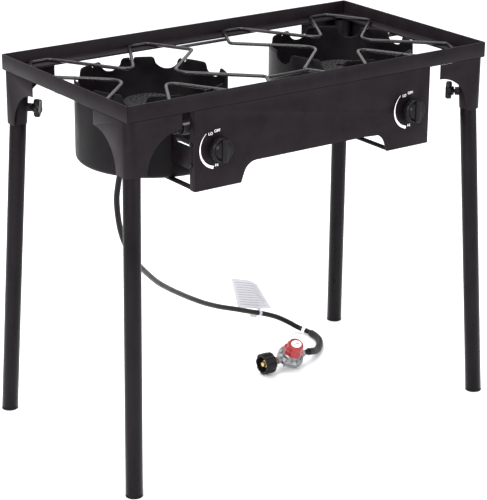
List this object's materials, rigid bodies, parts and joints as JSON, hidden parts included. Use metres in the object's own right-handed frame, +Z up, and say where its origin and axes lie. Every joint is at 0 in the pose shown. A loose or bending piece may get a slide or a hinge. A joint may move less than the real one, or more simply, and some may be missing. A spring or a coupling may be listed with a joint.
{
  "type": "propane burner stand",
  "caption": "Two-burner propane camp stove on a tall splayed-leg stand, with control panel, hose and regulator.",
  "frame": {"origin": "on the floor, under the middle of the frame", "axes": "+X along the frame's long side, +Y from the control panel to the back, +Z up"},
  "size_m": [0.853, 0.4965, 0.726],
  "materials": {
    "black_coat": "satin black powder coat",
    "black_tube": "satin black powder coat on tube",
    "black_plastic": "moulded, matt",
    "knob_plastic": "moulded, semi-gloss",
    "zinc_fastener": "zinc plated",
    "white_print": "screen-printed scale",
    "shield_coat": "satin black heat-resistant coat",
    "cast_iron": "sand cast, painted black",
    "zinc_plate": "plated sheet",
    "dark_pipe": "painted steel pipe",
    "valve_aluminium": "die cast",
    "bright_steel": "turned",
    "brass": "turned",
    "grate_wire": "satin painted steel rod",
    "dark_fitting": "blackened",
    "hose_rubber": "smooth rubber cover",
    "sleeve_rubber": "thick rubber sleeve",
    "white_plastic": "nylon",
    "tag_paper": "coated paper",
    "cast_zinc": "die cast, bead finished",
    "red_plastic": "moulded, glossy",
    "nut_plastic": "moulded nylon"
  },
  "bodies": {
    "frame": {"front_rail": "black_coat", "rear_rail": "black_coat", "left_rail": "black_coat", "right_rail": "black_coat", "corner_bracket_fl": "black_coat", "corner_bracket_fr": "black_coat", "corner_bracket_bl": "black_coat", "corner_bracket_br": "black_coat", "leg_sockets": "black_coat", "front_panel": "black_coat", "panel_screws": "zinc_fastener", "dial_marks": "white_print", "wind_shield_left": "shield_coat", "wind_shield_right": "shield_coat", "shield_straps_left": "black_coat", "shield_straps_right": "black_coat", "burner_crossbar_left": "black_coat", "burner_crossbar_right": "black_coat", "burner_head_left": "cast_iron", "burner_head_right": "cast_iron", "burner_bolts": "zinc_fastener", "manifold_pipe": "dark_pipe", "manifold_clips": "black_coat", "manifold_end_cap": "dark_pipe", "valve_body_left": "valve_aluminium", "valve_body_right": "valve_aluminium", "gas_orifice_left": "brass", "gas_orifice_right": "brass", "grate_left": "grate_wire", "grate_right": "grate_wire", "grate_link_rods": "grate_wire", "hose_swivel_fitting": "dark_fitting", "hose": "hose_rubber", "hose_sleeve": "sleeve_rubber", "hose_tie": "white_plastic", "hose_tag": "tag_paper", "regulator_body": "cast_zinc", "regulator_bonnet": "cast_zinc", "tank_nipple": "brass"},
    "leg_fl": {"leg_fl": "black_tube", "foot_plug_fl": "black_plastic"},
    "thumb_screw_fl": {"thumb_screw_fl": "knob_plastic"},
    "leg_fr": {"leg_fr": "black_tube", "foot_plug_fr": "black_plastic"},
    "thumb_screw_fr": {"thumb_screw_fr": "knob_plastic"},
    "leg_bl": {"leg_bl": "black_tube", "foot_plug_bl": "black_plastic"},
    "thumb_screw_bl": {"thumb_screw_bl": "knob_plastic"},
    "leg_br": {"leg_br": "black_tube", "foot_plug_br": "black_plastic"},
    "thumb_screw_br": {"thumb_screw_br": "knob_plastic"},
    "control_left": {"control_knob_left": "knob_plastic", "valve_stem_left": "bright_steel"},
    "shutter_left": {"air_shutter_left": "zinc_plate"},
    "control_right": {"control_knob_right": "knob_plastic", "valve_stem_right": "bright_steel"},
    "shutter_right": {"air_shutter_right": "zinc_plate"},
    "pressure_knob": {"regulator_knob": "red_plastic"},
    "tank_nut": {"tank_nut": "nut_plastic"}
  },
  "joints": [
    {"name": "leg_fl_slide", "type": "slide", "parent": "frame", "child": "leg_fl", "axis": [-0.0391, -0.0525, -0.9979], "range_m": [0, 0.09]},
    {"name": "leg_fr_slide", "type": "slide", "parent": "frame", "child": "leg_fr", "axis": [0.0391, -0.0525, -0.9979], "range_m": [0, 0.09]},
    {"name": "leg_bl_slide", "type": "slide", "parent": "frame", "child": "leg_bl", "axis": [-0.0391, 0.0525, -0.9979], "range_m": [0, 0.09]},
    {"name": "leg_br_slide", "type": "slide", "parent": "frame", "child": "leg_br", "axis": [0.0391, 0.0525, -0.9979], "range_m": [0, 0.09]},
    {"name": "thumb_screw_fl_turn", "type": "hinge", "parent": "frame", "child": "thumb_screw_fl", "pos_m": [-0.38599, -0.19707, 0.626], "axis": [0.7071, 0.7071, 0], "continuous": true},
    {"name": "thumb_screw_fr_turn", "type": "hinge", "parent": "frame", "child": "thumb_screw_fr", "pos_m": [0.38599, -0.19707, 0.626], "axis": [-0.7071, 0.7071, 0], "continuous": true},
    {"name": "thumb_screw_bl_turn", "type": "hinge", "parent": "frame", "child": "thumb_screw_bl", "pos_m": [-0.38599, 0.19707, 0.626], "axis": [0.7071, -0.7071, 0], "continuous": true},
    {"name": "thumb_screw_br_turn", "type": "hinge", "parent": "frame", "child": "thumb_screw_br", "pos_m": [0.38599, 0.19707, 0.626], "axis": [-0.7071, -0.7071, 0], "continuous": true},
    {"name": "control_left_turn", "type": "hinge", "parent": "frame", "child": "control_left", "pos_m": [-0.221, -0.238, 0.622], "axis": [0, -1, 0], "range_deg": [0, 170]},
    {"name": "control_right_turn", "type": "hinge", "parent": "frame", "child": "control_right", "pos_m": [0.221, -0.238, 0.622], "axis": [0, -1, 0], "range_deg": [0, 170]},
    {"name": "shutter_left_turn", "type": "hinge", "parent": "frame", "child": "shutter_left", "pos_m": [-0.221, -0.1593, 0.622], "axis": [0, -1, 0], "range_deg": [-60, 60]},
    {"name": "shutter_right_turn", "type": "hinge", "parent": "frame", "child": "shutter_right", "pos_m": [0.221, -0.1593, 0.622], "axis": [0, -1, 0], "range_deg": [-60, 60]},
    {"name": "pressure_knob_turn", "type": "hinge", "parent": "frame", "child": "pressure_knob", "pos_m": [0.166, 0.068, 0.026], "axis": [0, -0.5, 0.866], "range_deg": [0, 720]},
    {"name": "tank_nut_turn", "type": "hinge", "parent": "frame", "child": "tank_nut", "pos_m": [0.1, 0.068, 0.026], "axis": [-1, 0, 0], "continuous": true}
  ]
}
